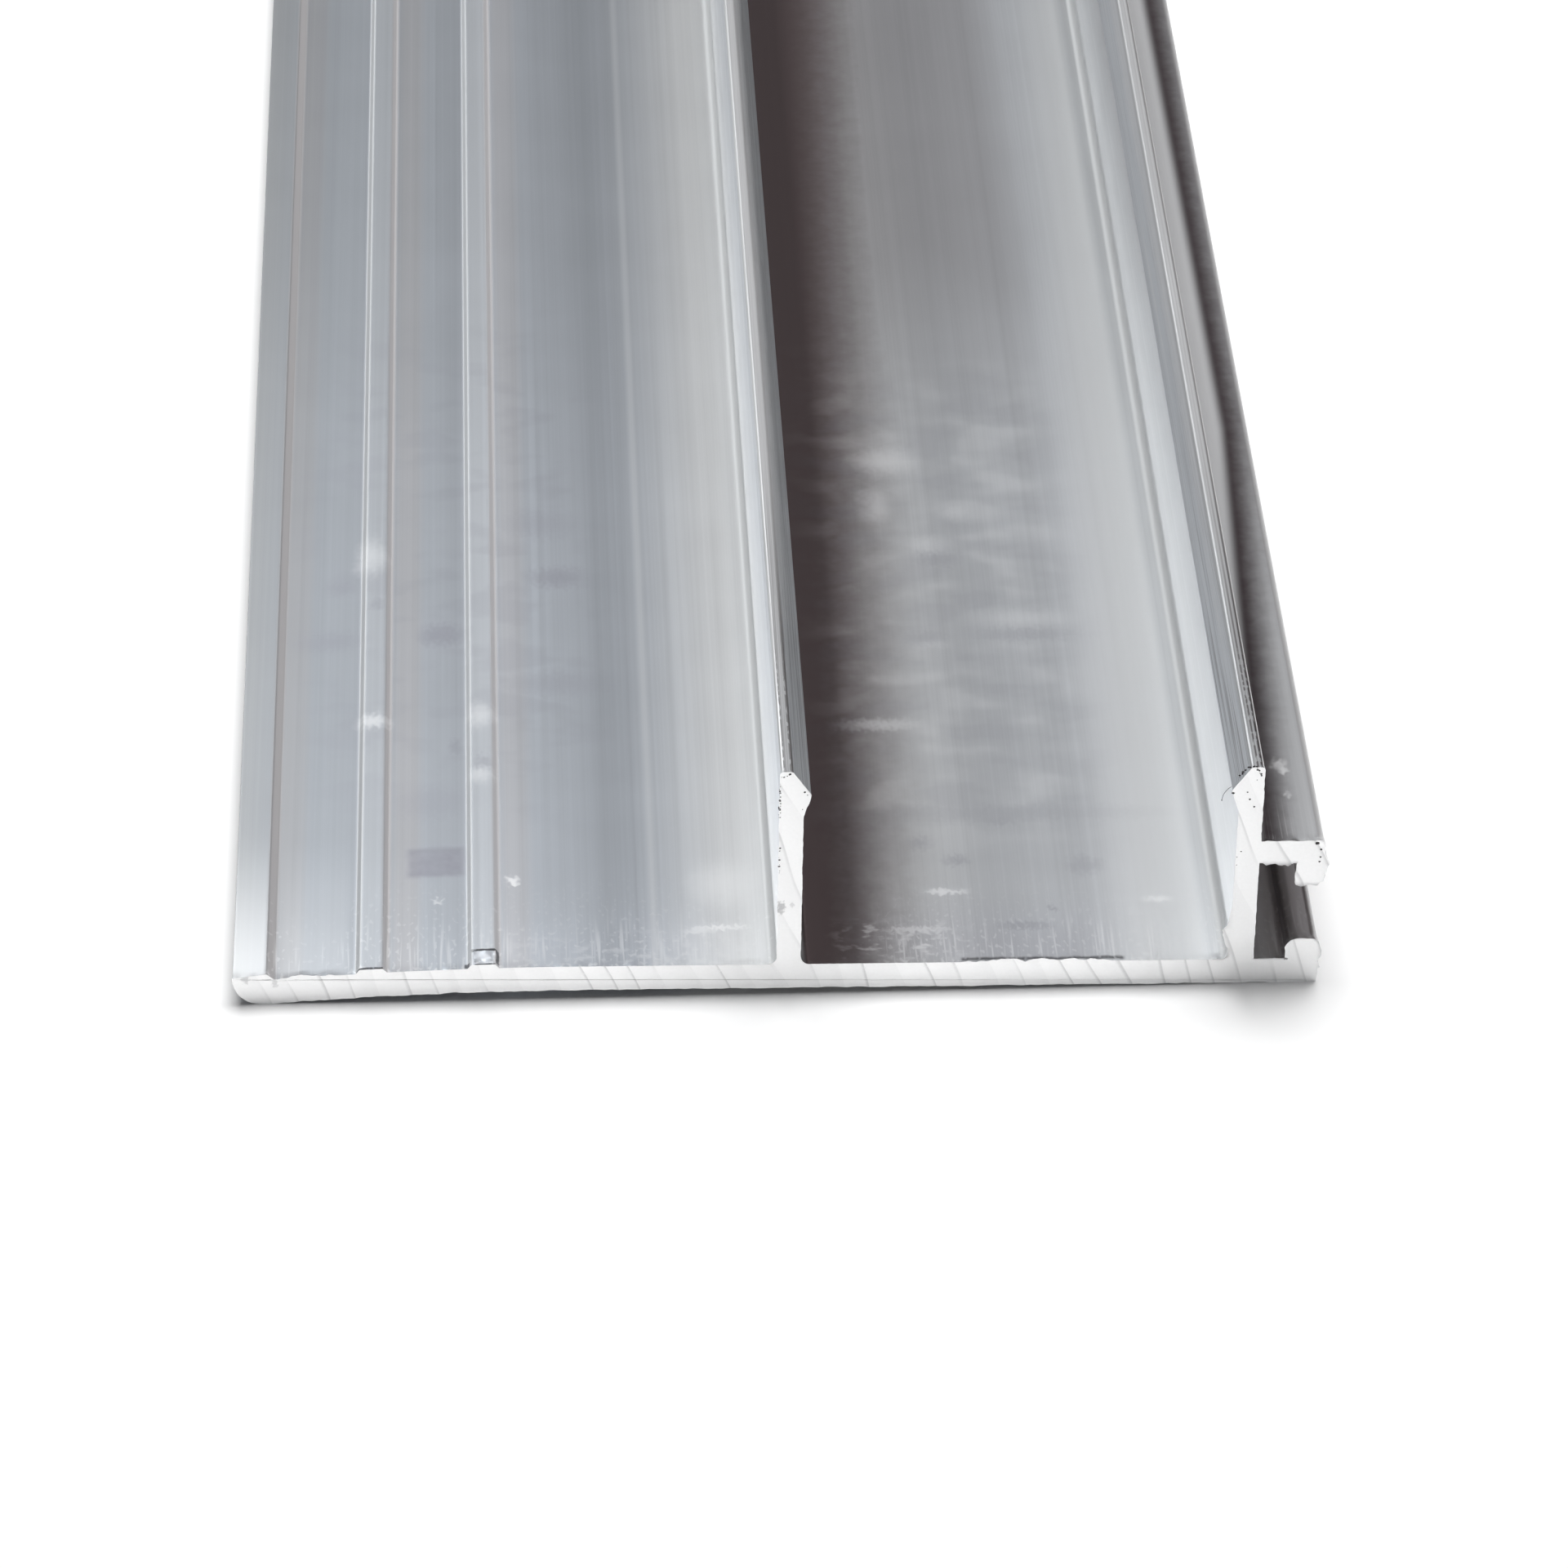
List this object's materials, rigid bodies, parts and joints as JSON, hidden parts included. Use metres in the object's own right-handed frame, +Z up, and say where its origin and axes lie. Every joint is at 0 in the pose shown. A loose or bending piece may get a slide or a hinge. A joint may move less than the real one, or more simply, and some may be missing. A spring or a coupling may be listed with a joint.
{
  "type": "aluminium extrusion profile",
  "caption": "Length of mill-finish aluminium extrusion: flat flange with raised strips and a lip, barbed ribs that form a clip channel, and a hooked gasket groove on one edge.",
  "frame": {"origin": "middle of the bar's box, on the floor that it lies on", "axes": "+Y along the bar, +X from the lip to the gasket groove, +Z up from the floor"},
  "size_m": [0.0701, 1, 0.0171],
  "materials": {
    "mill_aluminium": "mill finish with lengthwise die lines, handling smudges and bright saw-cut ends"
  },
  "bodies": {
    "root": {"extruded_profile": "mill_aluminium"}
  },
  "joints": []
}
